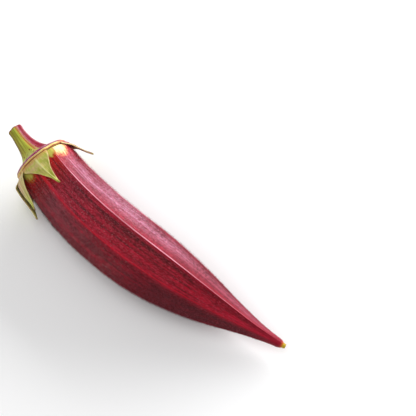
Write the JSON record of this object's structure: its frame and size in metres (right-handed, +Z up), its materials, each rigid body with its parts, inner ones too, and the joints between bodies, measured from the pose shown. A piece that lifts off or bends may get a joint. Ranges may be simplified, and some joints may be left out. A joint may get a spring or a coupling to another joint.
{
  "type": "okra pod",
  "caption": "Burgundy okra pod lying on its side: a ridged, gently bent, tapering pod with a cut green stem, a cap and pointed sepals.",
  "frame": {"origin": "middle of the object's box at the surface it lies on", "axes": "+X runs along the pod from the cut stem to the tip, +Z is up"},
  "size_m": [0.126, 0.0312, 0.0251],
  "materials": {
    "pod_skin": "dark crimson skin with fine hairs and a soft satin sheen",
    "stem_green": "yellow-green stem tissue with red streaks",
    "sepal_green": "pale green sepals with cream and pink edges"
  },
  "bodies": {
    "root": {"pod": "pod_skin", "stem": "stem_green", "sepal_1": "sepal_green", "sepal_2": "sepal_green", "sepal_3": "sepal_green", "sepal_4": "sepal_green", "sepal_5": "sepal_green"}
  },
  "joints": []
}
